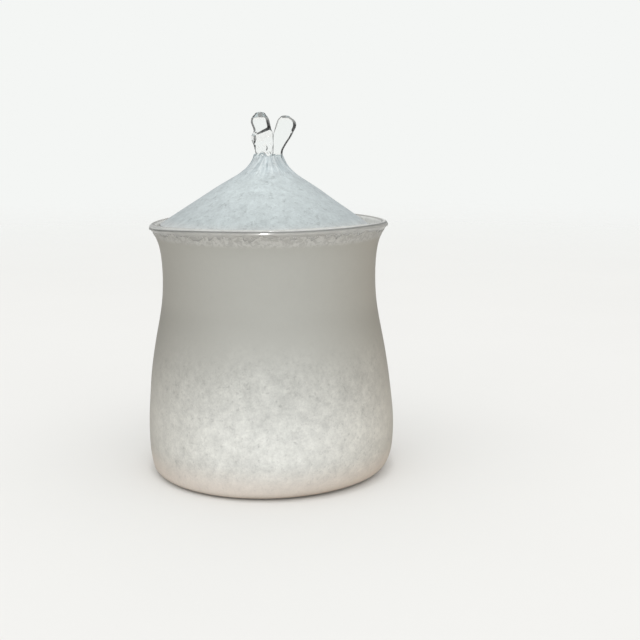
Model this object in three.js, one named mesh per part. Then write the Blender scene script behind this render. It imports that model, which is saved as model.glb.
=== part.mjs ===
// Lidded blown-glass dappen dish: a satin white jar with a flared clear lip, and a loose pale-blue
// conical lid that sits in the flare. Its knob is two clear pulls: a crimped bud on the -X side
// and a leaf on the +X side, both flattened along Y.
// Millimetres, +Z up. The origin is the centre of the ground foot, on the table.
import * as THREE from "three";

// ---- driving dimensions ----
const SEGMENTS = 32; // facets round the jar and lid
const BOND = 0.1; // parting line left between two fused portions

// Jar
const BELLY_R = 32.5; // widest outside radius
const BELLY_Z = 10.2;
const NECK_R = 27.7; // narrowest outside radius, under the flare
const LIP_R = 30.9; // outside radius of the rounded lip
const LIP_BEAD = 0.85; // radius of the fire-polished bead
const BEAD_SWEEP = 170; // degrees the bead turns, from outside over the top
const JAR_H = 65.2; // table to the top of the lip
const LIP_START_Z = 61.9; // where the clear lip begins
const RIM_TILT = 0.013; // full rise of the lip per mm towards +X
const TILT_START_Z = 34.0; // height where that slope starts to build up
const FOOT_R = 26.8; // outside radius of the ground ring the jar stands on
const PUNT_R = 19.0; // radius of the shallow hollow in the underside
const PUNT_DEPTH = 0.9; // its depth at the centre
const WHITE_WALL = 0.8; // satin white overlay, on the outside
const CLEAR_WALL = 1.1; // clear glass inside it
const WHITE_FLOOR_Z = 2.6; // top of the overlay's floor
const CLEAR_FLOOR = 3.0; // thickness of the clear floor above it
const FLOOR_CORNER_R = 2.4; // corner where the two layers meet
const CUP_CORNER_R = 4.0; // corner inside the clear cup

// Lid
const LID_SEAT_Z = 63.85; // height the lid leans about
const CONE_FOOT_R = 27.85; // outside radius at the foot of the cone
const BLUE_WALL = 0.8; // pale-blue overlay on the outside
const LID_CLEAR_WALL = 1.0; // clear glass under it
const LID_TOP_Z = 82.1; // top of the cone, under the knob
const LID_TOP_R = 3.6; // nominal radius of the cone's top, before its bevel
const LID_LEAN = 0.0183; // lean towards +X, radians
const LID_SHIFT = -0.4; // offset of the lid along X

// Knob
const KNOB_FOOT_Z = LID_TOP_Z + BOND;
const KNOB_FIRST_Z = KNOB_FOOT_Z + 0.05; // lowest full-width station of both pulls
const KNOB_DEPTH = 0.58; // depth along Y over width along X
const KNOB_SEGMENTS = 16;

// ---- profile helpers: points are (radius, height) ----
const point = (radius, z) => new THREE.Vector2(radius, z);

// A spline through [radius, height] pairs, sampled in equal steps of its parameter.
function smooth(pairs, steps) {
  return new THREE.SplineCurve(pairs.map(([radius, z]) => point(radius, z))).getPoints(steps);
}

// The same upward run moved towards the axis, square to itself.
function inset(run, distance) {
  return run.map((here, i) => {
    const before = run[Math.max(0, i - 1)];
    const after = run[Math.min(run.length - 1, i + 1)];
    const along = after.clone().sub(before).normalize();
    return point(here.x - along.y * distance, here.y + along.x * distance);
  });
}

// Part of a circle, between two angles in degrees.
function arc(centreR, centreZ, radius, start, end, steps) {
  return Array.from({ length: steps + 1 }, (_, i) => {
    const angle = THREE.MathUtils.degToRad(start + ((end - start) * i) / steps);
    return point(centreR + radius * Math.cos(angle), centreZ + radius * Math.sin(angle));
  });
}

// Where a run passes height z.
function crossing(run, z) {
  for (let i = 1; i < run.length; i++) {
    const [p, q] = [run[i - 1], run[i]];
    if ((p.y - z) * (q.y - z) <= 0 && p.y !== q.y) {
      return point(p.x + ((q.x - p.x) * (z - p.y)) / (q.y - p.y), z);
    }
  }
  throw new Error("the run never passes " + z);
}

// Points of a run between two heights, leaving out any too close to either.
const MIN_GAP = 0.2;
function between(run, bottom, top) {
  return run.filter((p) => p.y > bottom + MIN_GAP && p.y < top - MIN_GAP);
}

// A run from above the bottom height, cut off level at the top one.
const climb = (run, bottom, top) => [...between(run, bottom, top), crossing(run, top)];

// A quarter round from a wall at height z, down and in to the floor.
function floorCorner(wall, z, radius, steps) {
  return arc(crossing(wall, z).x - radius, z, radius, 0, -90, steps);
}

// ---- solid helpers ----
// A turned solid about +Z. The outline runs anticlockwise, so its faces point out.
const ON_AXIS = 1e-6;
function turned(outline) {
  const endsOnAxis = outline[0].x < ON_AXIS && outline.at(-1).x < ON_AXIS;
  const closed = endsOnAxis ? outline : [...outline, outline[0].clone()];
  return new THREE.LatheGeometry(closed, SEGMENTS).rotateX(Math.PI / 2);
}

// A turned solid whose heights rise towards +X, more and more up the wall.
function turnedWithTilt(outline) {
  const geometry = turned(outline);
  const position = geometry.getAttribute("position");
  for (let i = 0; i < position.count; i++) {
    const z = position.getZ(i);
    const ramp = THREE.MathUtils.smoothstep(z, TILT_START_Z, JAR_H);
    position.setZ(i, z + RIM_TILT * position.getX(i) * ramp);
  }
  return geometry;
}

// ---- jar profiles: [radius, height], going up the outside ----
const HEEL = [
  [FOOT_R, 0], [28.9, 0.42], [30.3, 1.25],
  [31.4, 3.0], [32.2, 6.0], [BELLY_R, BELLY_Z],
];
const HEEL_STEPS = 6;
const FLANK = [
  [BELLY_R, BELLY_Z], [31.95, 20.0], [30.7, 30.0],
  [28.82, 40.0], [NECK_R, 50.0], [28.15, 58.0],
  [29.36, LIP_START_Z], [30.15, 63.2], [LIP_R, JAR_H - LIP_BEAD],
];
const FLANK_STEPS = 16;

const outside = [...smooth(HEEL, HEEL_STEPS), ...smooth(FLANK, FLANK_STEPS).slice(1)];
const whiteInside = inset(outside, WHITE_WALL);
const clearOutside = inset(outside, WHITE_WALL + BOND);
const clearInside = inset(outside, WHITE_WALL + BOND + CLEAR_WALL);
const wallTop = LIP_START_Z - BOND;

// Satin white overlay, with the ground foot ring and the shallow hollow under the floor.
function whiteOverlay() {
  const cornerZ = WHITE_FLOOR_Z + FLOOR_CORNER_R;
  return turnedWithTilt([
    point(0, PUNT_DEPTH),
    point(PUNT_R * 0.6, PUNT_DEPTH * 0.64), // point part way down the hollow's curve
    point(PUNT_R, 0),
    point(FOOT_R, 0),
    ...climb(outside, 0, wallTop),
    ...climb(whiteInside, cornerZ, wallTop).reverse(),
    ...floorCorner(whiteInside, cornerZ, FLOOR_CORNER_R, 2),
    point(0, WHITE_FLOOR_Z),
  ]);
}

// Clear cup fused inside the overlay.
function innerGlass() {
  const undersideZ = WHITE_FLOOR_Z + BOND;
  const floorZ = undersideZ + CLEAR_FLOOR;
  const outerCornerZ = undersideZ + FLOOR_CORNER_R;
  const innerCornerZ = floorZ + CUP_CORNER_R;
  return turnedWithTilt([
    point(0, undersideZ),
    ...floorCorner(clearOutside, outerCornerZ, FLOOR_CORNER_R, 2).reverse(),
    ...climb(clearOutside, outerCornerZ, wallTop),
    ...climb(clearInside, innerCornerZ, wallTop).reverse(),
    ...floorCorner(clearInside, innerCornerZ, CUP_CORNER_R, 3),
    point(0, floorZ),
  ]);
}

// Clear flare above the white, ending in the bead.
function lip() {
  const beadZ = JAR_H - LIP_BEAD;
  return turnedWithTilt([
    crossing(outside, LIP_START_Z),
    ...between(outside, LIP_START_Z, beadZ),
    ...arc(LIP_R - LIP_BEAD, beadZ, LIP_BEAD, 0, BEAD_SWEEP, 5),
    point(28.66, 63.5), // inside of the flare, going down
    point(28.08, 62.65),
    crossing(clearInside, LIP_START_Z),
  ]);
}

// ---- lid profiles: [radius, height], going up the outside of the cone ----
const CONE = [
  [CONE_FOOT_R, LID_SEAT_Z + 0.4], [26.5, 65.15], [21.5, 68.5], [18.35, 70.5],
  [12.4, 74.5], [9.85, 76.0], [7.6, 77.5], [5.85, 79.0],
  [4.6, 80.5], [LID_TOP_R + 0.15, LID_TOP_Z - 0.3],
];
const CONE_STEPS = 12;

const cone = smooth(CONE, CONE_STEPS);
const blueInside = inset(cone, BLUE_WALL);
const coneClearOutside = inset(cone, BLUE_WALL + BOND);
const coneClearInside = inset(cone, BLUE_WALL + BOND + LID_CLEAR_WALL);

// Last profile point of each surface, before it closes over to the axis.
const BLUE_ROOF = 8;
const CLEAR_ROOF_OUTER = BLUE_ROOF - 1;
const CLEAR_ROOF_INNER = BLUE_ROOF - 2;
// Rise from that point to the axis.
const BLUE_ROOF_RISE = 0.7;
const CLEAR_OUTER_RISE = 1.1;
const CLEAR_INNER_RISE = 0.8;

// Pale-blue overlay, solid at the very top.
function blueOverlay() {
  return turned([
    ...cone,
    point(LID_TOP_R - 0.3, LID_TOP_Z), // bevelled edge of the flat top
    point(0, LID_TOP_Z),
    point(0, blueInside[BLUE_ROOF].y + BLUE_ROOF_RISE),
    ...blueInside.slice(0, BLUE_ROOF + 1).reverse(),
  ]);
}

// Clear glass under the blue, with a rounded edge at the bottom.
function lidInnerGlass() {
  return turned([
    ...coneClearOutside.slice(0, CLEAR_ROOF_OUTER + 1),
    point(0, coneClearOutside[CLEAR_ROOF_OUTER].y + CLEAR_OUTER_RISE),
    point(0, coneClearInside[CLEAR_ROOF_INNER].y + CLEAR_INNER_RISE),
    ...coneClearInside.slice(1, CLEAR_ROOF_INNER + 1).reverse(),
    point(26.25, 63.1), // rounded edge, from inside to outside
    point(26.6, 62.85),
    point(27.15, 62.95),
  ]);
}

// ---- knob: rows of [height, -X side, +X side] ----
// Bulged stub, pinched waist, then the rounded bud.
const BUD_TIP_Z = 93.1;
const BUD = [
  [KNOB_FIRST_Z, -3.3, 1.0], [84.4, -3.66, 1.15], [85.9, -4.28, 1.2], [87.1, -4.34, 1.16],
  [88.0, -3.86, 1.04], [88.8, -3.84, 0.8], [90.0, -4.28, 0.53], [91.0, -4.4, 0.3],
  [91.8, -4.12, 0.0], [92.5, -3.5, -0.55],
];
// Narrow foot widening into a rounded leaf that leans out towards +X.
const LEAF_TIP_Z = 92.2;
const LEAF = [
  [KNOB_FIRST_Z, 1.42, 3.55], [84.3, 1.5, 4.2], [86.6, 1.54, 5.65], [88.2, 1.66, 6.55],
  [89.4, 1.9, 7.05], [90.5, 2.2, 7.05], [91.3, 2.6, 6.4], [91.9, 3.2, 5.5],
];

// A flattened pull of glass, closed at both ends: turned, then each ring moved to its middle.
function pull(rows, tipZ) {
  const outline = [
    point(0, KNOB_FOOT_Z),
    ...rows.map(([z, left, right]) => point((right - left) / 2, z)),
    point(0, tipZ),
  ];
  const middles = [rows[0], ...rows, rows.at(-1)].map(([, left, right]) => (left + right) / 2);
  const geometry = new THREE.LatheGeometry(outline, KNOB_SEGMENTS).rotateX(Math.PI / 2);
  const position = geometry.getAttribute("position");
  for (let i = 0; i < position.count; i++) {
    // The lathe repeats the whole outline at each facet, so the remainder is the ring.
    const middle = middles[i % outline.length];
    position.setXY(i, position.getX(i) + middle, position.getY(i) * KNOB_DEPTH);
  }
  return geometry;
}

// ---- materials ----
const satinWhite = new THREE.MeshStandardMaterial({
  color: 0xd8d7d2,
  roughness: 0.55,
  metalness: 0,
});
const paleBlue = new THREE.MeshStandardMaterial({
  color: 0xc3d0d3,
  roughness: 0.45,
  metalness: 0,
});
const clearGlass = new THREE.MeshStandardMaterial({
  color: 0xe8eeec,
  roughness: 0.04,
  metalness: 0,
  transparent: true,
  opacity: 0.35,
});

// ---- assembly ----
function piece(name, geometry, material) {
  const mesh = new THREE.Mesh(geometry, material);
  mesh.name = name;
  return mesh;
}

const jar = new THREE.Group();
jar.add(
  piece("jar_white_overlay", whiteOverlay(), satinWhite),
  piece("jar_inner_glass", innerGlass(), clearGlass),
  piece("jar_lip", lip(), clearGlass),
);

const lid = new THREE.Group();
lid.add(
  piece("lid_blue_overlay", blueOverlay(), paleBlue),
  piece("lid_inner_glass", lidInnerGlass(), clearGlass),
  piece("knob_bud", pull(BUD, BUD_TIP_Z), clearGlass),
  piece("knob_leaf", pull(LEAF, LEAF_TIP_Z), clearGlass),
);
// The lid leans about the centre of its seat, so its geometry is moved to start there.
lid.children.forEach((mesh) => mesh.geometry.translate(0, 0, -LID_SEAT_Z));
lid.position.set(LID_SHIFT, 0, LID_SEAT_Z);
lid.rotation.y = LID_LEAN;

const dish = new THREE.Group();
dish.add(jar, lid);

export default dish;
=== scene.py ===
"""Looks of a round glass dish with a lid: a white overlay jar with a clear lip, and a pale blue
cone of a lid with a two-part clear knob. It stands on z = 0 round the Z axis; +X is right and
-Y is the front. Shape code works in millimetres; materials, lights and camera in metres."""
import math

import bpy
import numpy as np
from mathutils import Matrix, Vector, noise


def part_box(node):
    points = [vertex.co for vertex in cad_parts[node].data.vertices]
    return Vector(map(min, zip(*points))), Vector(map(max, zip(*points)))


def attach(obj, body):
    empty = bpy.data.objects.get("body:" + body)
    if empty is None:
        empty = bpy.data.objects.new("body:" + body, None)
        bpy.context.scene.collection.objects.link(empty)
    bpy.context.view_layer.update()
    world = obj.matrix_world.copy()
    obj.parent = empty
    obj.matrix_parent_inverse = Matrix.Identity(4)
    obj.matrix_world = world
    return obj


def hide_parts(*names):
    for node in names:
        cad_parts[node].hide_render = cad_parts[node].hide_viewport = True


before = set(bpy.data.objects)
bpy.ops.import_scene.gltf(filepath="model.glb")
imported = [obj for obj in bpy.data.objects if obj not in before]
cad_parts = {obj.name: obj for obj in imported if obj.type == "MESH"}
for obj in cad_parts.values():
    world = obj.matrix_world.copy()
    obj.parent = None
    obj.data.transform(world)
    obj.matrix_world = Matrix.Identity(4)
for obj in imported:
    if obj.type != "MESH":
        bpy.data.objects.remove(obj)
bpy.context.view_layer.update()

MM = 0.001

# ---- main sizes, mm -------------------------------------------------------------------------
lip_lo, lip_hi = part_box("jar_lip")
white_lo, white_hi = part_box("jar_white_overlay")
BELLY_R = white_hi.x / MM
LIP_R = (lip_hi.x - lip_lo.x) / 2 / MM
RIM_TILT = 0.013  # rise of the rim per mm towards +X
TILT_START = 34.0  # height where that tilt begins
JAR_H = lip_hi.z / MM - RIM_TILT * LIP_R
NECK_R = 29.5  # turns lengths round the neck into angles

WHITE_WALL = 0.8
WHITE_EDGE = 0.11  # wall of the white in its torn zone
WHITE_FLOOR = 2.6
WHITE_CORNER = 2.4  # radius between wall and floor, inside
TORN_START = 61.0  # the white is drawn out to a torn edge above this height
PUNT_DEPTH = 0.9

GAP = 0.06  # between a coloured overlay and the clear glass inside it
CLEAR_WALL = 1.1
CLEAR_FLOOR = 3.0
CLEAR_CORNER = 4.4
LIP_START = 61.25
BEAD = 1.0  # radius of the round edge of the lip
BEAD_R = LIP_R - BEAD
BEAD_Z = JAR_H - BEAD

SEAT_Z = 63.85  # height of the lid's seat, about which it leans
LEAN = 0.0183  # radians, top towards +X
LID_SHIFT = -0.54  # along X
BLUE_WALL = 0.8
LID_CLEAR_WALL = 1.0
FOOT_Z = 81.45  # foot of both parts of the knob


# ---- small maths ----------------------------------------------------------------------------
def natural_cubic(points, steps):
    """steps + 1 points on a natural cubic through the given ones, by chord length."""
    knots = np.array(points, float)
    at = np.r_[0, np.cumsum(np.linalg.norm(np.diff(knots, axis=0), axis=1))]
    gap = np.diff(at)
    count = len(knots)
    system = np.zeros((count, count))
    target = np.zeros((count, 2))
    system[0, 0] = system[-1, -1] = 1
    for i in range(1, count - 1):
        system[i, i - 1 : i + 2] = gap[i - 1], 2 * (gap[i - 1] + gap[i]), gap[i]
        rise, rise_before = knots[i + 1] - knots[i], knots[i] - knots[i - 1]
        target[i] = 6 * (rise / gap[i] - rise_before / gap[i - 1])
    bend = np.linalg.solve(system, target)
    s = np.linspace(0, at[-1], steps + 1)
    i = np.clip(np.searchsorted(at, s, side="right") - 1, 0, count - 2)
    past, left, span = (s - at[i])[:, None], (at[i + 1] - s)[:, None], gap[i][:, None]
    return (
        bend[i] * left**3 / (6 * span)
        + bend[i + 1] * past**3 / (6 * span)
        + (knots[i] / span - bend[i] * span / 6) * left
        + (knots[i + 1] / span - bend[i + 1] * span / 6) * past
    )


def smoothstep(x, start, end):
    t = np.clip((np.asarray(x, float) - start) / (end - start), 0, 1)
    return t * t * (3 - 2 * t)


def bell(x, centre, width):
    return np.exp(-(((np.asarray(x, float) - centre) / width) ** 2))


class Ring:
    """Repeatable random wave round a turn: cosines low to high, weaker as they get finer."""

    def __init__(self, seed, low, high, power):
        random = np.random.default_rng(seed)
        self.order = np.arange(low, high + 1)
        self.size = random.normal(size=len(self.order)) / (self.order / low) ** power
        self.phase = random.uniform(0, 2 * math.pi, len(self.order))
        self.size /= np.sqrt((self.size**2).sum() / 2)

    def __call__(self, phi):
        phi = np.asarray(phi, float)
        return (self.size * np.cos(phi[..., None] * self.order + self.phase)).sum(-1)


class Loop:
    """Smooth closed wave near given (degrees, value) pairs: least squares, four harmonics."""

    def __init__(self, pairs):
        degrees, values = np.array(pairs, float).T
        self.order = np.arange(1, 5)
        basis = self.basis(np.radians(degrees))
        self.weights, *_ = np.linalg.lstsq(basis, values, rcond=None)

    def basis(self, phi):
        angle = phi[..., None] * self.order
        ones = np.ones(angle.shape[:-1] + (1,))
        return np.concatenate([ones, np.cos(angle), np.sin(angle)], -1)

    def __call__(self, phi):
        return self.basis(np.asarray(phi, float)) @ self.weights


def soft_noise(points, scale, octaves, shift):
    """Soft noise about 0 at points in mm, features about scale mm across."""
    flat = np.asarray(points, float).reshape(-1, 3) / scale + shift
    values = (noise.fractal(Vector(p), 0.9, 2.1, octaves) for p in flat)
    return np.fromiter(values, float, len(flat)).reshape(points.shape[:-1])


def offset(curve, distance):
    tangent = np.gradient(curve, axis=0)
    tangent /= np.linalg.norm(tangent, axis=1)[:, None]
    return curve + np.stack([-tangent[:, 1], tangent[:, 0]], 1) * distance


def azimuths(count):
    return np.linspace(0, 2 * math.pi, count, endpoint=False)


PHI_FINE = azimuths(480)
PHI_LIP = azimuths(384)
PHI_CLEAR = azimuths(256)


# ---- mesh making ----------------------------------------------------------------------------
def make_object(name, verts_mm, faces):
    mesh = bpy.data.meshes.new(name)
    mesh.from_pydata((np.asarray(verts_mm) * MM).tolist(), [], faces)
    mesh.validate(verbose=False)
    mesh.update()
    mesh.polygons.foreach_set("use_smooth", [True] * len(mesh.polygons))
    made = bpy.data.objects.new(name, mesh)
    bpy.context.scene.collection.objects.link(made)
    return made


def grid_faces(nu, nv, wrap_u=False, base=0):
    u, v = np.meshgrid(np.arange(nu if wrap_u else nu - 1), np.arange(nv), indexing="ij")
    u1, v1 = (u + 1) % nu, (v + 1) % nv
    quads = np.stack([u * nv + v, u * nv + v1, u1 * nv + v1, u1 * nv + v], -1)
    return (quads.reshape(-1, 4) + base).tolist()


def closed_grid(name, grid, wrap_u=False):
    """A closed body from rings grid[u, v]. u wraps too, or each end ring closes on its middle."""
    nu, nv, _ = grid.shape
    verts = grid.reshape(-1, 3)
    faces = grid_faces(nu, nv, wrap_u)
    if not wrap_u:
        verts = np.vstack([verts, grid[0].mean(0), grid[-1].mean(0)])
        first, last, top = nu * nv, nu * nv + 1, (nu - 1) * nv
        for v in range(nv):
            w = (v + 1) % nv
            faces.append([first, w, v])
            faces.append([last, top + v, top + w])
    return make_object(name, verts, faces)


def cap_shell(name, outer, inner):
    """A cap: outer rings from the edge up to the middle, inner rings from there back down."""
    nv = outer.shape[1]
    rows = [outer.reshape(-1, 3), inner.reshape(-1, 3), outer[-1].mean(0), inner[0].mean(0)]
    a, b = len(outer), len(inner)
    faces = grid_faces(a, nv) + grid_faces(b, nv, base=a * nv)
    tip, root, last = (a + b) * nv, (a + b) * nv + 1, (a + b - 1) * nv
    for v in range(nv):
        w = (v + 1) % nv
        faces.append([tip, (a - 1) * nv + v, (a - 1) * nv + w])
        faces.append([root, a * nv + w, a * nv + v])
        faces.append([last + v, last + w, w, v])
    return make_object(name, np.vstack(rows), faces)


def turn(outline, phi):
    """Rings from an outline of (r, z) and azimuths phi."""
    r, z = np.asarray(outline, float).T[:, :, None]
    return np.stack([r * np.cos(phi), r * np.sin(phi), z + 0 * phi], -1)


def fillet(wall_r, floor_z, radius, start, end, count):
    """(r, z) round an inner corner; 0 degrees is on the wall, 90 on the floor."""
    return [
        (wall_r - radius + radius * math.cos(a), floor_z + radius - radius * math.sin(a))
        for a in np.radians(np.linspace(start, end, count))
    ]


# ---- the jar's own shape --------------------------------------------------------------------
# outside of the jar: r, z
OUTSIDE = natural_cubic(
    [
        (26.8, 0.0), (28.9, 0.42), (30.3, 1.25), (31.4, 3.0), (32.2, 6.0),
        (32.5, 10.2), (32.4, 15.0), (31.96, 20.0), (31.43, 25.0), (30.72, 30.0),
        (29.83, 35.0), (28.84, 40.0), (28.05, 45.0), (27.73, 50.0), (27.81, 54.6),
        (28.16, 58.0), (28.66, 60.2), (29.36, 61.9), (30.15, 63.2), (30.82, 64.3),
    ],
    900,
)
OUTSIDE[:, 0] *= BELLY_R / OUTSIDE[:, 0].max()


def outer_radius(z):
    return np.interp(z, OUTSIDE[:, 1], OUTSIDE[:, 0])


# Loops are (azimuth in degrees, value); 0 is +X and -90 the front.
# how far the lip stands above its mean height, mm
LIP_WAVE = Loop([
    (0, 0.0), (25, 0.0), (45, 0.02), (70, 0.08), (95, 0.2), (120, 0.34), (146, 0.38),
    (165, 0.2), (180, 0.08), (-165, 0.36), (-147, 0.66), (-130, 0.86), (-110, 0.95),
    (-90, 0.97), (-70, 0.92), (-54, 0.86), (-33, 0.68), (-15, 0.25),
])
# how much fuller the heel stands than the turned outline, mm
HEEL_WAVE = Loop([
    (0, 0.0), (-30, 0.02), (-60, 0.2), (-90, 0.95), (-120, 1.7), (-150, 1.85),
    (180, 1.7), (150, 1.3), (120, 0.9), (90, 0.5), (60, 0.25), (30, 0.08),
])
# turn of the painted dark line (painted shade) round the bead, degrees: low on the left, high on
# the right
LINE_TURN = Loop([
    (0, 30.0), (20, 20.0), (60, 0.0), (90, 0.0), (120, 0.0), (160, -20.0), (180, -34.0),
    (-160, -26.0), (-130, -5.0), (-100, 0.0), (-80, 0.0), (-50, 3.0), (-20, 24.0),
])
BODY_OVAL = Ring(seed=3, low=2, high=4, power=1.0)
BODY_SLOW = Ring(seed=5, low=3, high=9, power=1.2)
BELLY_PUSH = 0.42  # shift of the belly towards +X


def hand(points):
    """The small unevenness of a form blown and turned by hand, and the slope of its lip."""
    p = np.array(points, float)
    x, y, z = p[..., 0], p[..., 1], p[..., 2]
    phi = np.arctan2(y, x)
    r = np.hypot(x, y)
    outer_part = smoothstep(r, 8.0, 24.0)
    body = smoothstep(z, 1.0, 9.0) * outer_part
    grow = 0.045 * BODY_OVAL(phi) + 0.03 * BODY_SLOW(phi + z * 0.02)
    heel = HEEL_WAVE(phi) * np.exp(-np.clip(z, 0, None) / 2.1) * smoothstep(r, 22.0, 26.5)
    k = 1 + np.where(r > 1e-6, (grow * body + heel) / np.maximum(r, 1e-6), 0)
    tilt = RIM_TILT * x * smoothstep(z, TILT_START, JAR_H)
    wave = LIP_WAVE(phi) * smoothstep(z, 52.0, 64.0) * smoothstep(r, 20.0, 26.0)
    return np.stack([x * k + BELLY_PUSH * bell(z, 11.0, 13.0) * outer_part, y * k,
                     z + tilt + wave], -1)


def white_thickness(z):
    return WHITE_WALL - (WHITE_WALL - WHITE_EDGE) * smoothstep(z, 60.0, 61.4)


def torn_ring(torn, share, inset):
    """A ring share of the way up to the torn edge. Its teeth lean over, as if twisted."""
    z = TORN_START + (torn - TORN_START) * share
    phi = PHI_FINE + 0.75 * np.clip(z - 61.6, 0, None) / NECK_R
    r = outer_radius(z) - inset(z)
    return np.stack([r * np.cos(phi), r * np.sin(phi), z], -1)


def make_white():
    """White overlay: outer skin up to a torn edge under the lip, then back down inside."""
    coarse = Ring(seed=11, low=5, high=22, power=0.4)(PHI_FINE)
    fine = Ring(seed=12, low=24, high=70, power=0.3)(PHI_FINE)
    tiny = Ring(seed=13, low=70, high=150, power=0.3)(PHI_FINE)
    torn = np.clip(63.02 + 0.2 * coarse + 0.27 * fine + 0.14 * tiny, 61.75, 63.9)
    # underside: r, z, from the hollow of the punt out to the foot
    underside = [
        (2.5, PUNT_DEPTH), (6.0, PUNT_DEPTH * 0.97), (10.0, PUNT_DEPTH * 0.86),
        (14.0, PUNT_DEPTH * 0.62), (17.2, PUNT_DEPTH * 0.28), (18.6, 0.08),
        (19.0, 0.0), (20.5, 0.0), (23.5, 0.0), (25.8, 0.0),
    ]
    low = OUTSIDE[OUTSIDE[:, 1] < TORN_START]
    # closer rings round the heel
    pick = np.unique(np.r_[np.arange(0, 120, 6), np.arange(120, len(low), 12), len(low) - 1])
    rings = list(turn(underside, PHI_FINE)) + list(turn(low[pick], PHI_FINE))
    steps = 22
    for s in np.linspace(0, 1, steps + 1)[1:]:
        rings.append(torn_ring(torn, s, lambda z: 0.05 * smoothstep(s, 0.85, 1.0)))
    for s in np.linspace(1, 0, steps + 1):
        rings.append(torn_ring(torn - 0.03, s, white_thickness))
    inside = [
        (r - white_thickness(z), z)
        for r, z in low[pick][::-2]
        if WHITE_FLOOR + 2.6 <= z <= 60.9
    ]
    corner_r = outer_radius(WHITE_FLOOR + WHITE_CORNER) - WHITE_WALL
    inside += fillet(corner_r, WHITE_FLOOR, WHITE_CORNER, start=0, end=90, count=8)
    inside += [(r, WHITE_FLOOR) for r in (24.0, 18.0, 12.0, 7.0, 3.0)]
    rings += list(turn(inside, PHI_FINE))
    grid = hand(np.array(rings))
    # relief of the torn zone
    z = grid[..., 2]
    walls = slice(len(rings) // 4, -14)
    bumps = np.zeros(z.shape)
    bumps[walls] = soft_noise(grid[walls], scale=1.1, octaves=3, shift=7.0)
    r = np.hypot(grid[..., 0], grid[..., 1])
    push = 1 + 0.07 * bumps * smoothstep(z, 60.8, 62.2) / np.maximum(r, 1)
    grid[..., :2] *= push[..., None]
    return closed_grid("white_overlay", grid)


def make_clear():
    """Clear gather inside the overlay, up to where the lip starts."""
    cup = WHITE_FLOOR + GAP
    cup_r = outer_radius(cup + WHITE_CORNER) - WHITE_WALL - GAP
    out = [(r, cup) for r in (3.0, 9.0, 15.0, 21.0, 25.0)]
    out += fillet(cup_r, cup, WHITE_CORNER, start=90, end=0, count=8)
    for z in [*np.arange(6.0, LIP_START, 1.1), LIP_START]:
        out.append((outer_radius(z) - white_thickness(z) - GAP, z))
    wall = WHITE_WALL + GAP + CLEAR_WALL
    for z in [LIP_START, *np.arange(LIP_START - 0.6, 10.5, -1.1)]:
        out.append((outer_radius(z) - wall, z))
    floor = cup + CLEAR_FLOOR
    inner_r = outer_radius(10.0) - wall
    out += fillet(inner_r, floor, CLEAR_CORNER, start=0, end=90, count=12)
    out += [(r, floor) for r in (20.0, 14.0, 8.0, 3.0)]
    return closed_grid("jar_clear_glass", hand(turn(out, PHI_CLEAR)))


def lip_outline():
    """Lip outline, and the way its skin faces: 0 outwards, 90 up, 180 inwards, in degrees."""
    out, way = [], []
    neck_top = BEAD_Z - 0.45
    for z in np.linspace(LIP_START + 0.03, neck_top, 12):
        skin = 0.15 * (1 - smoothstep(z, 62.8, neck_top))
        out.append((outer_radius(z) - skin, z))
        way.append(-25)
    for a in np.linspace(-12, 172, 30):
        turned = math.radians(a)
        out.append((BEAD_R + BEAD * math.cos(turned), BEAD_Z + BEAD * math.sin(turned)))
        way.append(a)
    foot_r = outer_radius(LIP_START) - WHITE_WALL - GAP - CLEAR_WALL
    inner = natural_cubic(
        [(BEAD_R - BEAD * 0.99, BEAD_Z - 0.1), (28.72, 63.6), (28.3, 62.9), (27.5, 61.9),
         (foot_r, LIP_START + 0.03)],
        14,
    )
    out += [tuple(q) for q in inner[1:]]
    way += [195] * len(inner[1:])
    last, first = np.array(out[-1]), np.array(out[0])
    out += [tuple(last + (first - last) * t) for t in (0.3, 0.65)]
    way += [-60, -60]
    return out, np.array(way, float)


def make_lip():
    """Clear lip: the flare and its round bead. Its facing is kept in the attribute "way"."""
    line, way = lip_outline()
    lip = closed_grid("clear_lip", hand(turn(line, PHI_LIP)), wrap_u=True)
    turned = way[:, None] - LINE_TURN(PHI_LIP)[None, :] * bell(way, 40.0, 60.0)[:, None]
    attribute = lip.data.attributes.new("way", "FLOAT", "POINT")
    attribute.data.foreach_set("value", (turned / 180).reshape(-1))
    return lip


# ---- the lid --------------------------------------------------------------------------------
# outside of the lid: r, z
CONE = natural_cubic(
    [
        (27.85, 64.22), (26.5, 65.13), (24.5, 66.48), (21.5, 68.47), (18.35, 70.52),
        (15.4, 72.5), (12.4, 74.5), (9.87, 76.05), (7.6, 77.5), (5.85, 79.0),
        (4.62, 80.5), (3.85, 82.0),
    ],
    200,
)
RIBS = Ring(seed=31, low=7, high=26, power=0.2)
FINE_RIBS = Ring(seed=32, low=12, high=34, power=0.3)
LID_SLOW = Ring(seed=33, low=2, high=5, power=0.8)


def lean(points):
    """Lean the lid about its seat and shift it along X."""
    p = np.array(points, float)
    x, z = p[..., 0].copy(), p[..., 2] - SEAT_Z
    p[..., 0] = x * math.cos(LEAN) + z * math.sin(LEAN) + LID_SHIFT
    p[..., 2] = z * math.cos(LEAN) - x * math.sin(LEAN) + SEAT_Z
    return p


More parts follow.
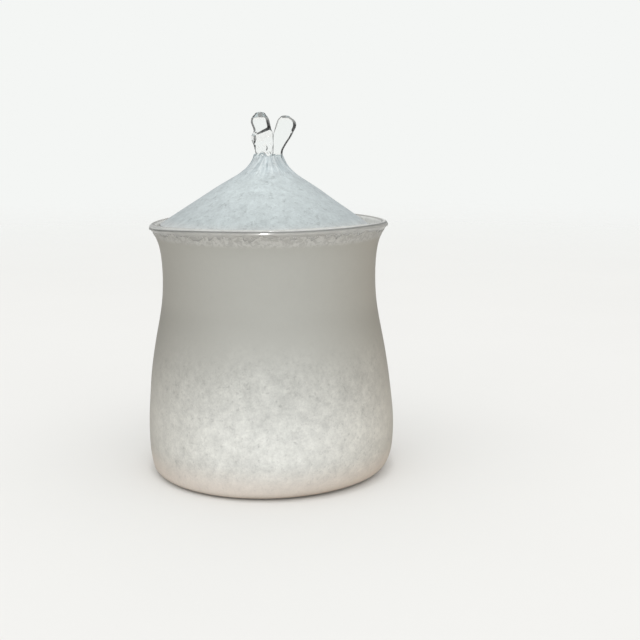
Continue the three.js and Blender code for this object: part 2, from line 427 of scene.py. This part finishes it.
def lid_hand(points):
    """Ribs where the top was drawn out, slight unevenness, then the lean of the lid."""
    x, y, z = np.moveaxis(np.array(points, float), -1, 0)
    phi, r = np.arctan2(y, x), np.hypot(x, y)
    top = smoothstep(z, 72.5, 81.0)
    ribs = top * (0.075 * RIBS(phi) + 0.035 * FINE_RIBS(phi + z * 0.03))
    slow = 0.05 * LID_SLOW(phi) * (1 - 0.6 * top)
    slimmer = (0.12 + 0.14 * smoothstep(z, 74.0, 66.0)) * smoothstep(r, 1.0, 6.0)
    grow = ribs + slow - slimmer
    k = 1 + np.where(r > 0.5, grow / np.maximum(r, 0.5), 0) * smoothstep(r, 0.6, 2.5)
    # the neck is flattened front to back
    shaped_x = x * k * (1 - 0.03 * top) + 0.3 * smoothstep(z, 70.0, 81.0)
    shaped_y = y * k * (1 - 0.36 * smoothstep(z, 77.5, 82.3))
    # the ribs end in a wavy edge round the foot of the knob
    edge = 0.17 * RIBS(phi) * smoothstep(z, 81.5, 81.95) * smoothstep(r, 1.6, 3.0)
    return lean(np.stack([shaped_x, shaped_y, z + edge], -1))


def make_blue():
    top = [(3.98, 81.7), (3.84, 81.88), (3.6, 81.98), (3.3, 82.0), (2.6, 81.96),
           (1.6, 81.93), (0.8, 81.93)]
    outer = list(CONE[::2][:-2]) + top
    under = offset(CONE, BLUE_WALL)[:150]
    roof_r, roof_z = under[-1]
    inner = [(0.8, roof_z + 0.9), (roof_r * 0.5, roof_z + 0.75), (roof_r * 0.85, roof_z + 0.4)]
    inner += list(under[::-2])
    rings = [lid_hand(turn(line, PHI_FINE)) for line in (outer, inner)]
    return cap_shell("blue_overlay", *rings)


def make_lid_glass():
    outside = offset(CONE, BLUE_WALL + GAP)[:140]
    inside = offset(CONE, BLUE_WALL + GAP + LID_CLEAR_WALL)[:128]
    top_r, top_z = outside[-1]
    outer = [(26.62, 62.86), (26.95, 62.84), (27.25, 63.0)] + list(outside[2::3])
    outer += [(top_r * 0.6, top_z + 0.8), (0.8, top_z + 1.05)]
    roof_r, roof_z = inside[-1]
    inner = [(0.8, roof_z + 0.8), (roof_r * 0.6, roof_z + 0.55)]
    inner += [p for p in inside[::-3] if p[0] < 26.2] + [(26.3, 63.2), (26.4, 62.98)]
    rings = [lid_hand(turn(line, PHI_CLEAR)) for line in (outer, inner)]
    return cap_shell("lid_clear_glass", *rings)


# ---- the knob -------------------------------------------------------------------------------
def pull(name, rows, tip, depth, rims, nu, nv, cap, shape=lambda p: p):
    """A pull of hot glass pinched flat, from FOOT_Z up to tip. rows are (z, left, right);
    depth(z) is how far it reaches to the front and back, rims(z) the widths of its round left
    and right edges, cap the height over which its faces draw together."""
    zs, left_x, right_x = np.array(rows).T
    left = natural_cubic(np.c_[left_x, zs], 400)
    right = natural_cubic(np.c_[right_x, zs], 400)
    z = np.linspace(FOOT_Z, zs[-1], nu)
    left_at = np.interp(z, left[:, 1], left[:, 0])
    right_at = np.interp(z, right[:, 1], right[:, 0])
    mid, half = (left_at + right_at) / 2, (right_at - left_at) / 2
    # round the tip over the last stretch
    a = np.linspace(0, 1, 24)[1:] * math.pi / 2
    z = np.r_[z, zs[-1] + (tip - zs[-1]) * np.sin(a)]
    half = np.r_[half, half[-1] * np.maximum(np.cos(a), 0.02)]
    mid = np.r_[mid, np.full(len(a), mid[-1])]
    # the two faces draw together near the top and close with a small round
    face = 1 - 0.52 * (cap - (tip - z)) / depth(z)
    face = 0.5 * (1 + face - np.sqrt((1 - face) ** 2 + 0.001))
    closing = 1 - (1 - np.clip((tip - z) / 0.14, 0, 1)) ** 2
    reach = depth(z) * face * np.sqrt(np.clip(closing, 0.0004, 1))
    rim_left, rim_right = (np.minimum(w, half * 0.98)[:, None] for w in rims(z))
    # flat faces between the round edges; across runs from the right edge (1) to the left (-1)
    a = azimuths(nv)
    across, around = np.cos(a), np.sin(a)
    flat = 0.45
    edge_right, edge_left = half[:, None] - rim_right, -half[:, None] + rim_left
    inside = 0.5 * (edge_right + edge_left)
    inside = inside + 0.5 * (edge_right - edge_left) * np.clip(across / flat, -1, 1)
    bend = np.clip((np.abs(across) - flat) / (1 - flat), 0, 1) * math.pi / 2
    x = inside + np.where(across > 0, rim_right, -rim_left) * np.sin(bend)
    y = np.sign(around) * reach[:, None] * np.cos(bend)
    y = np.where(np.abs(around) < 1e-9, 0, y)
    return closed_grid(name, shape(np.stack([mid[:, None] + x, y, z[:, None] + 0 * x], -1)))


# z, left edge x, right edge x
BUD_ROWS = [
    (FOOT_Z, -3.28, 1.15), (82.0, -3.3, 1.12), (82.6, -3.32, 1.08), (83.2, -3.42, 0.99),
    (84.3, -3.66, 1.22), (85.3, -4.0, 1.32), (86.2, -4.34, 1.25), (87.0, -4.36, 1.2),
    (87.7, -4.0, 1.13), (88.3, -3.76, 0.98), (88.9, -3.84, 0.78), (89.9, -4.24, 0.53),
    (90.7, -4.43, 0.36), (91.4, -4.3, 0.15), (92.0, -3.98, -0.2), (92.5, -3.45, -0.65),
]
LEAF_ROWS = [
    (FOOT_Z, 1.1, 3.66), (82.0, 1.1, 3.68), (82.7, 1.12, 3.66), (83.4, 1.16, 3.76),
    (84.3, 1.18, 4.2), (85.5, 1.16, 4.93), (86.6, 1.18, 5.68), (87.6, 1.3, 6.22),
    (88.4, 1.5, 6.62), (89.3, 1.78, 7.06), (89.9, 1.95, 7.16), (90.5, 2.16, 7.04),
    (91.1, 2.42, 6.62), (91.6, 2.78, 5.98), (91.9, 3.15, 5.5),
]
# soft lumps on the stub: centre x, centre z, half width, half height, how far they stand out
BUD_LUMPS = [
    (-3.7, 86.3, 0.42, 0.8, 0.4), (-2.75, 83.6, 0.5, 0.75, 0.26), (-0.9, 84.1, 0.5, 0.8, 0.3),
    (0.55, 84.6, 0.5, 0.8, 0.18), (-1.9, 85.5, 0.7, 0.6, 0.16), (-0.2, 86.6, 0.6, 0.8, 0.16),
    (-2.9, 82.55, 0.42, 0.42, 0.3), (-1.5, 82.5, 0.45, 0.4, 0.32),
    (0.0, 82.55, 0.4, 0.4, 0.28),
]
FOLD_X, FOLD_Z, FOLD_SLOPE = -1.38, 87.98, 0.39  # line where the bud folds over its stub
FOLD_STEP = 0.76  # how far the bud stands out over the stub


def bud_shape(p):
    """The bud stands out over its stub along the fold; the stub keeps a few soft lumps."""
    x, y, z = p[..., 0], p[..., 1], p[..., 2]
    above = ((z - FOLD_Z) - FOLD_SLOPE * (x - FOLD_X)) / math.hypot(1, FOLD_SLOPE)
    outward = np.sign(y) * smoothstep(np.abs(y), 0.02, 0.35)
    strength = 0.25 + 0.75 * smoothstep(x, -3.9, -3.2)
    # upper edge of the fold is round, lower side rises slowly out of the valley
    ramp = above / (0.5 + 0.35 * smoothstep(x, -2.8, 0.3))
    ramp = 0.5 * (1 + ramp - np.sqrt((1 - ramp) ** 2 + 0.02))
    upper = -FOLD_STEP * (1 - np.clip(ramp, 0, 1))
    lower = -FOLD_STEP + 0.3 * (1 - np.exp(-np.clip(-above, 0, None) / 0.6))
    fold = np.where(above > 0, upper, lower) * strength
    q = p.copy()
    q[..., 1] = y + outward * (fold + 0.12 * smoothstep(-above, 0.9, 2.2))
    for centre_x, centre_z, width, height, out in BUD_LUMPS:
        q[..., 1] += outward * out * bell(x, centre_x, width) * bell(z, centre_z, height)
    return q


def bud_depth(z):
    return 1.45 - 0.1 * smoothstep(z, 87.0, 83.0) + 0.35 * bell(z, 81.7, 0.8)


def bud_rims(z):
    return 1.9 - 0.5 * smoothstep(z, 88.0, 87.0), 0.12 + 1.44 * smoothstep(z, 88.2, 89.4)


def leaf_depth(z):
    return 1.3 + 0.3 * bell(z, FOOT_Z, 0.8)


def leaf_rims(z):
    left = 0.15 + 0.65 * smoothstep(z, 87.6, 90.0)
    right = 0.95 + 0.6 * smoothstep(z, 87.9, 88.8) - 0.65 * bell(z, 87.95, 0.16)
    return left, right


# ---- frit flecks on the clear under the lip -------------------------------------------------
def fleck_faces(rings, sides, start):
    faces = []
    for i in range(rings - 1):
        for j in range(sides):
            k = (j + 1) % sides
            low, high = start + i * sides, start + (i + 1) * sides
            faces.append([low + j, high + j, high + k, low + k])
    first_tip, last = start + rings * sides, start + (rings - 1) * sides
    for j in range(sides):
        k = (j + 1) % sides
        faces.append([first_tip, start + j, start + k])
        faces.append([first_tip + 1, last + k, last + j])
    return faces


def make_flecks(skin_count, deep_count, seed):
    """Small slanting grains, the first skin_count just under the skin, the rest deeper."""
    random = np.random.default_rng(seed)
    sides, rings = 8, 7
    polar = math.pi * np.arange(1, rings + 1)[:, None] / (rings + 1)
    around = azimuths(sides)
    verts, faces = [], []
    for number in range(skin_count + deep_count):
        centre_phi = random.uniform(0, 2 * math.pi)
        centre_z = float(np.clip(63.2 + 0.34 * random.normal(), 62.2, 64.05))
        length = 0.16 + 0.42 * random.random() ** 2
        width = 0.09 + 0.1 * random.random()
        thick = 0.05 + 0.05 * random.random()
        sink = 0.14
        if number >= skin_count:
            centre_z = random.uniform(62.9, 64.7)
            sink = random.uniform(0.5, 1.25)
            length, width = length * 0.8, width * 0.9
        tilt = math.radians(-48 + 20 * random.normal())
        girth = np.sin(polar) * random.uniform(0.75, 1.25, (rings, sides))
        tips = [(length, 0, 0), (-length, 0, 0)]
        body = [np.cos(polar) * length + 0 * girth, girth * np.cos(around) * width,
                girth * np.sin(around) * thick]
        along, across, out = np.vstack([np.stack(body, -1).reshape(-1, 3), tips]).T
        z = centre_z + along * math.sin(tilt) + across * math.cos(tilt)
        sideways = along * math.cos(tilt) - across * math.sin(tilt)
        phi = centre_phi + sideways / NECK_R
        r = outer_radius(z) - sink + out + 0.02
        faces += fleck_faces(rings, sides, number * (rings * sides + 2))
        verts.append(np.stack([r * np.cos(phi), r * np.sin(phi), z], -1))
    return make_object("frit_flecks", hand(np.vstack(verts)), faces)


# ---- shader building ------------------------------------------------------------------------
class Wire:
    """An output of a shader node; sums, differences and products make math nodes."""

    def __init__(self, shader, socket):
        self.shader, self.socket = shader, socket

    def __add__(self, other):
        return self.shader.math("ADD", self, other)

    def __sub__(self, other):
        return self.shader.math("SUBTRACT", self, other)

    def __rsub__(self, other):
        return self.shader.math("SUBTRACT", other, self)

    def __mul__(self, other):
        return self.shader.math("MULTIPLY", self, other)

    def ease(self, over, to=(0.0, 1.0)):
        """Smooth step of this value across over, giving values from to[0] to to[1]."""
        inputs = {"Value": self, "From Min": over[0], "From Max": over[1],
                  "To Min": to[0], "To Max": to[1]}
        return self.shader.add("ShaderNodeMapRange", inputs, "Result",
                               interpolation_type="SMOOTHSTEP")


class Shader:
    """A node tree with one output node."""

    def __init__(self, owner, output_kind):
        owner.use_nodes = True
        self.nodes, self.links = owner.node_tree.nodes, owner.node_tree.links
        self.nodes.clear()
        self.output = self.nodes.new(output_kind)

    def node(self, kind, inputs=None, **settings):
        made = self.nodes.new(kind)
        for key, value in settings.items():
            setattr(made, key, value)
        for key, value in (inputs or {}).items():
            self.plug(made.inputs[key], value)
        return made

    def plug(self, socket, value):
        if isinstance(value, Wire):
            self.links.new(value.socket, socket)
        elif socket.type == "RGBA":
            socket.default_value = (*value, 1)
        else:
            socket.default_value = value

    def add(self, kind, inputs=None, output=0, **settings):
        return Wire(self, self.node(kind, inputs, **settings).outputs[output])

    def surface(self, value):
        self.plug(self.output.inputs["Surface"], value)

    def math(self, operation, a, b=None, clamp=False):
        inputs = {0: a} if b is None else {0: a, 1: b}
        return self.add("ShaderNodeMath", inputs, operation=operation, use_clamp=clamp)

    def mix(self, factor, a, b, blend="MIX"):
        return self.add("ShaderNodeMix", {0: factor, 6: a, 7: b}, 2,
                        data_type="RGBA", blend_type=blend)

    def mix_shader(self, factor, a, b):
        return self.add("ShaderNodeMixShader", {0: factor, 1: a, 2: b})

    def color(self, red, green, blue):
        return self.add("ShaderNodeCombineColor", {0: red, 1: green, 2: blue})

    def shaded(self, factor, color, level):
        """color multiplied by the grey level, as far as factor says."""
        return self.mix(factor, color, level, "MULTIPLY")

    def noise(self, where, scale, detail=2.0, rough=0.5, distortion=0.0):
        return self.add("ShaderNodeTexNoise", {
            "Vector": where, "Scale": scale, "Detail": detail, "Roughness": rough,
            "Distortion": distortion}, "Fac")

    def coords(self, kind="Object"):
        return self.add("ShaderNodeTexCoord", output=kind)

    def split(self, vector):
        made = self.node("ShaderNodeSeparateXYZ", {0: vector})
        return [Wire(self, socket) for socket in made.outputs]

    def light_path(self, *names):
        path = self.node("ShaderNodeLightPath")
        return [Wire(self, path.outputs[f"Is {name} Ray"]) for name in names]

    def camera_side(self, direction):
        """A direction seen from the camera: x right, y up, z ahead."""
        return self.add("ShaderNodeVectorTransform", {0: direction}, vector_type="VECTOR",
                        convert_from="WORLD", convert_to="CAMERA")

    def travel(self):
        """Direction the ray travels in, seen from the camera."""
        incoming = self.add("ShaderNodeNewGeometry", output="Incoming")
        flipped = self.add("ShaderNodeVectorMath", {0: incoming, "Scale": -1.0},
                           operation="SCALE")
        return self.camera_side(flipped)

    def bent_aside(self, ray):
        """1 for a ray that clear glass has turned well away from straight ahead."""
        transmission, diffuse = self.light_path("Transmission", "Diffuse")
        # straight ahead is taken 7 degrees to the right and 6 up
        right, up = math.radians(7.0), math.radians(6.0)
        ahead = (math.sin(right) * math.cos(up), math.sin(up), math.cos(right) * math.cos(up))
        cosine = self.add("ShaderNodeVectorMath", {0: ray, 1: ahead}, "Value",
                          operation="DOT_PRODUCT")
        limits = (math.cos(math.radians(25)), math.cos(math.radians(31)))
        return transmission * (1.0 - diffuse) * cosine.ease(over=limits)

    def facing_power(self, power):
        """1 where a surface is seen square on, falling to 0 at its outline."""
        facing = self.add("ShaderNodeLayerWeight", {"Blend": 0.5}, "Facing")
        return self.math("POWER", self.math("SUBTRACT", 1.0, facing, clamp=True), power)

    def bump(self, height):
        return self.add("ShaderNodeBump", {
            "Strength": 0.2, "Distance": 0.00005, "Height": height})

    def frosted(self, base, through, roughness, specular, normal=None):
        """Frosted glass: light scattered back, light scattered through, and a soft shine."""
        inputs = {"Roughness": roughness, "IOR": 1.45, "Base Color": base,
                  "Specular IOR Level": specular}
        if normal is not None:
            inputs["Normal"] = normal
        skin = self.add("ShaderNodeBsdfPrincipled", inputs)
        glow = self.add("ShaderNodeBsdfTranslucent", {"Color": base})
        return self.mix_shader(through, skin, glow)

    def clear(self, color, ior, roughness, shadow_tint):
        """Glass that lets shadow and diffuse rays straight through."""
        glass = self.add("ShaderNodeBsdfGlass", {
            "IOR": ior, "Roughness": roughness, "Color": color})
        through = self.add("ShaderNodeBsdfTransparent", {0: shadow_tint})
        soft = self.math("MAXIMUM", *self.light_path("Shadow", "Diffuse"))
        return self.mix_shader(soft, glass, through)


def new_material(name):
    made = bpy.data.materials.new(name)
    return made, Shader(made, "ShaderNodeOutputMaterial")


# ---- materials; lengths in metres -----------------------------------------------------------
def white_material():
    made, s = new_material("satin_white_glass")
    where = s.coords()
    x, y, z = s.split(where)
    # how dense the white is: thin under the lip, thick low down, with soft clouds between
    cloud = s.noise(where, scale=75.0)
    dense = (z + (cloud - 0.5) * 0.007).ease(over=(0.0435, 0.010))
    # mottling of the white, with a few darker flecks in it
    mottle = s.noise(where, scale=300.0, detail=3.6, rough=0.95, distortion=0.1)
    specks = s.noise(where, scale=900.0, rough=0.6, distortion=0.3)
    tone = (mottle - 0.5) * 0.84 + specks.ease(over=(0.42, 0.29)) * -0.14
    # less of it where the white is thin, at the heel and towards the outline
    amount = dense.ease(over=(0.0, 0.42), to=(0.08, 1.0))
    amount = amount * z.ease(over=(0.001, 0.009), to=(0.3, 1.0))
    facing = s.facing_power(1.0)
    amount = amount * facing.ease(over=(0.1, 0.65), to=(0.4, 1.0))
    tone = tone * amount + 1.0
    # painted shade: darkening towards the outline, changing with density and at the waist
    waist = z.ease(over=(0.040, 0.047), to=(0.05, -0.045)) * z.ease(over=(0.020, 0.027))
    deep = 0.345 - dense * 0.1 + waist
    outline_shade = 1.0 - deep * (1.0 - facing)
    # whiter where the white is dense and seen square on: partly denser white, partly painted glow
    # of light coming through the jar from inside
    glow = dense * s.facing_power(0.48)
    base = s.mix(glow, (0.548, 0.546, 0.507), (0.882, 0.888, 0.855))
    # painted warm reflection on the heel, as from a wooden table below
    base = s.mix(z.ease(over=(0.010, 0.0005)) * 0.85, base, (0.945, 0.86, 0.785))
    # painted warm reflected light towards the outline, more of it on the right
    cast = s.math("MULTIPLY", s.math("SUBTRACT", 1.0, facing, clamp=True),
                  x.ease(over=(-0.02, 0.02), to=(0.7, 1.35)), clamp=True)
    base = s.mix(cast, base, (1.03, 0.964, 0.893), "MULTIPLY")
    # lighter above the waist and in a band over the heel; painted light on the left side, where
    # the white is dense
    rise = z.ease(over=(0.0425, 0.0485), to=(0.974, 1.01))
    rise = rise + z.ease(over=(0.0485, 0.058), to=(0.0, 0.025))
    rise = rise + x.ease(over=(0.004, -0.008), to=(0.0, 0.035)) * dense.ease(over=(0.25, 0.6))
    band = z.ease(over=(0.0075, 0.012)) * z.ease(over=(0.022, 0.016), to=(0.0, 0.03))
    shade = tone * outline_shade * (rise + band)
    grey = s.color(shade, shade, shade)
    base = s.shaded(1.0, base, grey)
    # wisps in the torn zone under the lip
    wisp = s.noise(where, scale=950.0, rough=0.6, distortion=1.0)
    wisps = s.mix(wisp.ease(over=(0.40, 0.6)), (0.54, 0.53, 0.505), (0.77, 0.76, 0.73))
    torn = z.ease(over=(0.0612, 0.0626))
    base = s.mix(torn * 0.6, base, s.shaded(1.0, wisps, grey))
    s.surface(s.frosted(base, through=0.22, roughness=0.5, specular=0.22,
                        normal=s.bump(mottle)))
    return made


def blue_material():
    made, s = new_material("pale_blue_glass")
    where = s.coords()
    x, y, z = s.split(where)
    # coordinates that run round and down the cone, so that the colour is drawn into streaks
    angle = s.math("ARCTAN2", y, x)
    drawn = s.add("ShaderNodeCombineXYZ", {
        0: s.math("SINE", angle) * 3.4, 1: s.math("COSINE", angle) * 3.4, 2: z * 45.0})
    streak = s.noise(drawn, scale=3.4, detail=3.0, rough=0.65, distortion=0.3)
    # mottling with darker flecks, dimmer towards the rim
    mottle = s.noise(where, scale=300.0, detail=4.0, rough=0.95, distortion=0.2)
    specks = s.noise(where, scale=800.0, rough=0.6, distortion=0.4)
    tone = (mottle - 0.5) * 0.86 + specks.ease(over=(0.43, 0.29)) * -0.18
    tone = (tone + 1.0) * z.ease(over=(0.075, 0.064), to=(1.0, 0.86))
    # painted highlight: the top of the cone is paler in front; painted shade: its neck darker to
    # either side of that, and the right flank darker
    highlight_spot = (-0.0010, -0.0055, 0.0782)
    near = s.add("ShaderNodeVectorMath", {0: where, 1: highlight_spot}, "Value",
                 operation="DISTANCE")
    tone = tone * near.ease(over=(0.0032, 0.0006), to=(1.0, 1.115))
    # painted shade: the neck darker to either side of the painted highlight, and the right flank
    # of the cone darker
    aside = s.math("ABSOLUTE", x + 0.0009, 0.0)
    neck = aside.ease(over=(0.0006, 0.0028)) * z.ease(over=(0.0792, 0.0812), to=(0.0, 0.07))
    flank = x.ease(over=(0.003, 0.009)) * z.ease(over=(0.0695, 0.0728), to=(0.0, 0.045))
    tone = tone * (1.0 - (neck + flank))
    streaked = s.mix(streak.ease(over=(0.36, 0.64)), (0.40, 0.46, 0.485), (0.76, 0.81, 0.82))
    top = z.ease(over=(0.0755, 0.0805))
    base = s.mix(top * 0.85, (0.608, 0.665, 0.668), streaked)
    # the blue thins out to milky glass at the rim
    base = s.mix(z.ease(over=(0.0669, 0.0645), to=(0.0, 0.8)), base, (0.77, 0.775, 0.755))
    # a little deeper in colour where the wall is seen edge on
    edge = s.math("SUBTRACT", 1.0, s.facing_power(0.6), clamp=True)
    base = s.mix(edge * 0.45, base, (0.47, 0.52, 0.56))
    base = s.shaded(1.0, base, s.color(tone, tone, tone))
    # painted shade: dark where seen through strongly bending glass, standing for the dark room
    # seen through the knob
    base = s.mix(s.bent_aside(s.travel()), base, (0.16, 0.165, 0.17))
    s.surface(s.frosted(base, through=0.2, roughness=0.42, specular=0.25,
                        normal=s.bump(mottle)))
    return made


def clear_material(name, tint):
    made, s = new_material(name)
    cloud = s.noise(s.coords(), scale=160.0, distortion=0.1)
    tone = s.mix(cloud, tint, tuple(min(1.0, c * 1.02) for c in tint))
    s.surface(s.clear(tone, ior=1.5, roughness=0.0, shadow_tint=(0.96, 0.97, 0.965)))
    return made


# colour of the lip by the way its skin faces, in degrees: the outer face grey, then painted light
# and shade: a painted dark line at 21 to 33, a painted pale line over the top (painted reflection
# of a bright sky), a second painted dark line at 104 to 122, and the inside painted pale as if
# lit through from behind
LIP_COLOURS = [
    (-60, (0.66, 0.645, 0.61)), (-12, (0.68, 0.66, 0.625)), (8, (0.64, 0.62, 0.59)),
    (21, (0.30, 0.30, 0.29)), (33, (0.32, 0.32, 0.31)), (45, (0.93, 0.94, 0.92)),
    (92, (0.93, 0.94, 0.92)), (104, (0.50, 0.50, 0.48)), (122, (0.50, 0.50, 0.48)),
    (140, (0.965, 0.975, 0.955)), (195, (0.965, 0.975, 0.955)),
]


def milky_material():
    """Clear glass with a breath of white; its round edge shows a painted pale line (painted
    reflection) and a painted dark line (painted shade).
    """
    made, s = new_material("milky_clear_glass")

    def facing(*degrees):
        """Facings on the 0 to 1 scale of way."""
        return tuple(d / 360 + 0.25 for d in degrees)

    stored = s.add("ShaderNodeAttribute", output="Fac", attribute_name="way")
    way = stored * 0.5 + 0.25
    # painted light and shade round the bead, by the way the skin faces
    ramp = s.node("ShaderNodeValToRGB", {0: way})
    ramp.color_ramp.interpolation = "LINEAR"
    stops = ramp.color_ramp.elements
    while len(stops) < len(LIP_COLOURS):
        stops.new(0.5)
    for stop, (degrees, color) in zip(stops, LIP_COLOURS):
        stop.position = facing(degrees)[0]
        stop.color = (*color, 1)
    line = Wire(s, ramp.outputs[0])
    cloud = s.noise(s.coords(), scale=420.0, detail=3.0, rough=0.6, distortion=0.8)
    base = s.mix(cloud.ease(over=(0.35, 0.65), to=(0.0, 0.16)), line, (0.25, 0.245, 0.235))
    # painted shade: the outer side darkens towards its outline
    side = s.facing_power(0.8) * 0.47 + 0.56
    base = s.shaded(way.ease(over=facing(60, 10)), base, s.color(side, side, side))
    body = s.frosted(base, through=0.4, roughness=0.2, specular=0.5)
    clear_part = s.clear(s.mix(0.45, (0.97, 0.98, 0.975), line), ior=1.45, roughness=0.06,
                         shadow_tint=(0.9, 0.9, 0.89))
    # clearer over the top of the bead, then less so down the inside
    share = way.ease(over=facing(-20, 100), to=(0.3, 0.42))
    share = share - way.ease(over=facing(105, 140), to=(0.0, 0.3))
    s.surface(s.mix_shader(share, body, clear_part))
    return made


def frit_material():
    made, s = new_material("white_frit")
    cloud = s.noise(s.coords(), scale=1400.0, rough=0.6)
    base = s.mix(cloud.ease(over=(0.4, 0.6)), (0.52, 0.51, 0.49), (0.70, 0.69, 0.665))
    s.surface(s.frosted(base, through=0.3, roughness=0.3, specular=0.4))
    return made


# ---- pieces and their places in the frame ---------------------------------------------------
white = make_white()
clear = make_clear()
lip = make_lip()
blue = make_blue()
lid_glass = make_lid_glass()
bud = pull("knob_bud_glass", BUD_ROWS, tip=93.13, depth=bud_depth, rims=bud_rims,
           nu=280, nv=192, cap=1.9, shape=bud_shape)
leaf = pull("knob_leaf_glass", LEAF_ROWS, tip=92.24, depth=leaf_depth, rims=leaf_rims,
            nu=260, nv=160, cap=1.1)
frit = make_flecks(skin_count=420, deep_count=170, seed=77)

MAT_WHITE = white_material()
MAT_BLUE = blue_material()
MAT_CLEAR = clear_material("clear_glass", tint=(0.965, 0.98, 0.975))
MAT_MILKY = milky_material()
MAT_KNOB = clear_material("clear_knob_glass", tint=(0.975, 0.985, 0.98))
MAT_FRIT = frit_material()

# object, material, slot, body it rides on, frame pieces it replaces
for piece, material, slot, body, replaced in (
    (white, MAT_WHITE, "satin_white_glass", "jar", ["jar_white_overlay"]),
    (clear, MAT_CLEAR, "clear_glass", "jar", ["jar_inner_glass"]),
    (lip, MAT_MILKY, "clear_glass", "jar", ["jar_lip"]),
    (frit, MAT_FRIT, "satin_white_glass", "jar", []),
    (blue, MAT_BLUE, "pale_blue_glass", "lid", ["lid_blue_overlay"]),
    (lid_glass, MAT_CLEAR, "clear_glass", "lid", ["lid_inner_glass"]),
    (bud, MAT_KNOB, "clear_glass", "lid", ["knob_bud"]),
    (leaf, MAT_KNOB, "clear_glass", "lid", ["knob_leaf"]),
):
    piece.data.materials.append(material)
    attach(piece, body)
    if replaced:
        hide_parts(*replaced)


# ---- stage, in metres -----------------------------------------------------------------------
def floor_material():
    """Pale and matt, fading to nothing far out."""
    made, s = new_material("pale_floor")
    where = s.coords()
    distance = s.add("ShaderNodeVectorMath", {0: where}, "Value", operation="LENGTH")
    cloud = s.noise(where, scale=14.0, detail=3.0)
    base = s.mix(cloud, (0.735, 0.73, 0.715), (0.755, 0.75, 0.735))
    # painted shade: dark where seen through strongly bending glass, standing for the dark room
    # seen through the knob
    base = s.mix(s.bent_aside(s.travel()), base, (0.24, 0.24, 0.235))
    matt = s.add("ShaderNodeBsdfDiffuse", {"Color": base})
    nothing = s.add("ShaderNodeBsdfTransparent")
    s.surface(s.mix_shader(distance.ease(over=(0.25, 0.95)), matt, nothing))
    return made


def make_floor():
    radii = [0.04, 0.08, 0.12, 0.2, 0.3, 0.45, 0.7, 1.0]
    sides = 96
    verts = [(0, 0, 0)]
    for r in radii:
        verts += [(r * math.cos(a), r * math.sin(a), 0) for a in azimuths(sides)]
    faces = [[0, 1 + i, 1 + (i + 1) % sides] for i in range(sides)]
    for ring in range(len(radii) - 1):
        near, far = 1 + ring * sides, 1 + (ring + 1) * sides
        for i in range(sides):
            j = (i + 1) % sides
            faces.append([near + i, far + i, far + j, near + j])
    mesh = bpy.data.meshes.new("floor")
    mesh.from_pydata(verts, [], faces)
    floor = bpy.data.objects.new("floor", mesh)
    bpy.context.scene.collection.objects.link(floor)
    floor.location.z = -0.00005
    mesh.materials.append(floor_material())


def make_world():
    """A pale tent of light that goes round with the camera, so that clear glass keeps its
    outline from every side."""
    world = bpy.data.worlds.new("tent")
    bpy.context.scene.world = world
    s = Shader(world, "ShaderNodeOutputWorld")
    direction = s.coords("Generated")
    ray = s.camera_side(direction)
    right, _, ahead = s.split(ray)
    up = s.split(direction)[2]
    # what lights the satin glass: fill from the camera's side, some from behind the object,
    # a bright ceiling and an even base
    fill = s.math("MAXIMUM", ahead * -1.0, 0.0) * 0.76
    behind = ahead.ease(over=(0.55, 0.95), to=(0.0, 0.25))
    ceiling = up.ease(over=(0.30, 0.90), to=(0.0, 0.85))
    level = fill + behind + ceiling + 0.37
    light = s.color(level * 1.0, level * 1.005, level * 1.0)
    # clear glass shows the pale backdrop where it bends light little, and the dark of the
    # room, darker still on the left, where it bends it much
    backdrop = (0.905, 0.92, 0.905)
    transmission, diffuse, camera = s.light_path("Transmission", "Diffuse", "Camera")
    room = s.mix(right.ease(over=(-0.12, -0.34)), (0.19, 0.19, 0.185), (0.03, 0.03, 0.03))
    field = s.mix(s.bent_aside(ray), backdrop, room)
    unseen = s.mix(transmission * (1.0 - diffuse), light, field)
    seen = s.mix(camera, unseen, backdrop)
    s.surface(s.add("ShaderNodeBackground", {"Color": seen, "Strength": 1.0}))


def area_light(name, size, energy, location, target):
    """A rectangular light, hidden from the camera, that shines at target."""
    data = bpy.data.lights.new(name, "AREA")
    data.shape = "RECTANGLE"
    data.size, data.size_y = size
    data.energy = energy
    light = bpy.data.objects.new(name, data)
    bpy.context.scene.collection.objects.link(light)
    light.location = location
    back = Vector(location) - Vector(target)
    light.rotation_euler = back.to_track_quat("Z", "Y").to_euler()
    light.visible_camera = False
    return light


def make_lights():
    area_light("overhead", size=(0.08, 0.06), energy=0.9,
               location=(0.0, -0.15, 0.95), target=(0, 0, 0.05))
    # a tall window behind the camera, seen only as a highlight on the lip
    window = area_light("window", size=(0.11, 0.4), energy=26.0,
                        location=(-0.075, -1.05, 0.22), target=(0, -0.03, 0.065))
    window.visible_diffuse = window.visible_transmission = False
    shiny = bpy.data.collections.new("shiny_rim")
    shiny.objects.link(lip)
    window.light_linking.receiver_collection = shiny


def make_camera():
    pitch = math.radians(10.586945)  # downwards
    yaw = math.radians(2.6545397)  # towards +X
    data = bpy.data.cameras.new("camera")
    data.sensor_width = 36.0
    data.lens = 61.875
    data.clip_start, data.clip_end = 0.005, 20.0
    camera = bpy.data.objects.new("camera", data)
    bpy.context.scene.collection.objects.link(camera)
    camera.location = (0.0, -0.2856, 0.0925)
    level = math.cos(pitch)
    ahead = Vector((math.sin(yaw) * level, math.cos(yaw) * level, -math.sin(pitch)))
    camera.rotation_euler = ahead.to_track_quat("-Z", "Y").to_euler()
    bpy.context.scene.camera = camera


make_floor()
make_world()
make_lights()
make_camera()
bpy.context.scene.view_settings.view_transform = "Standard"
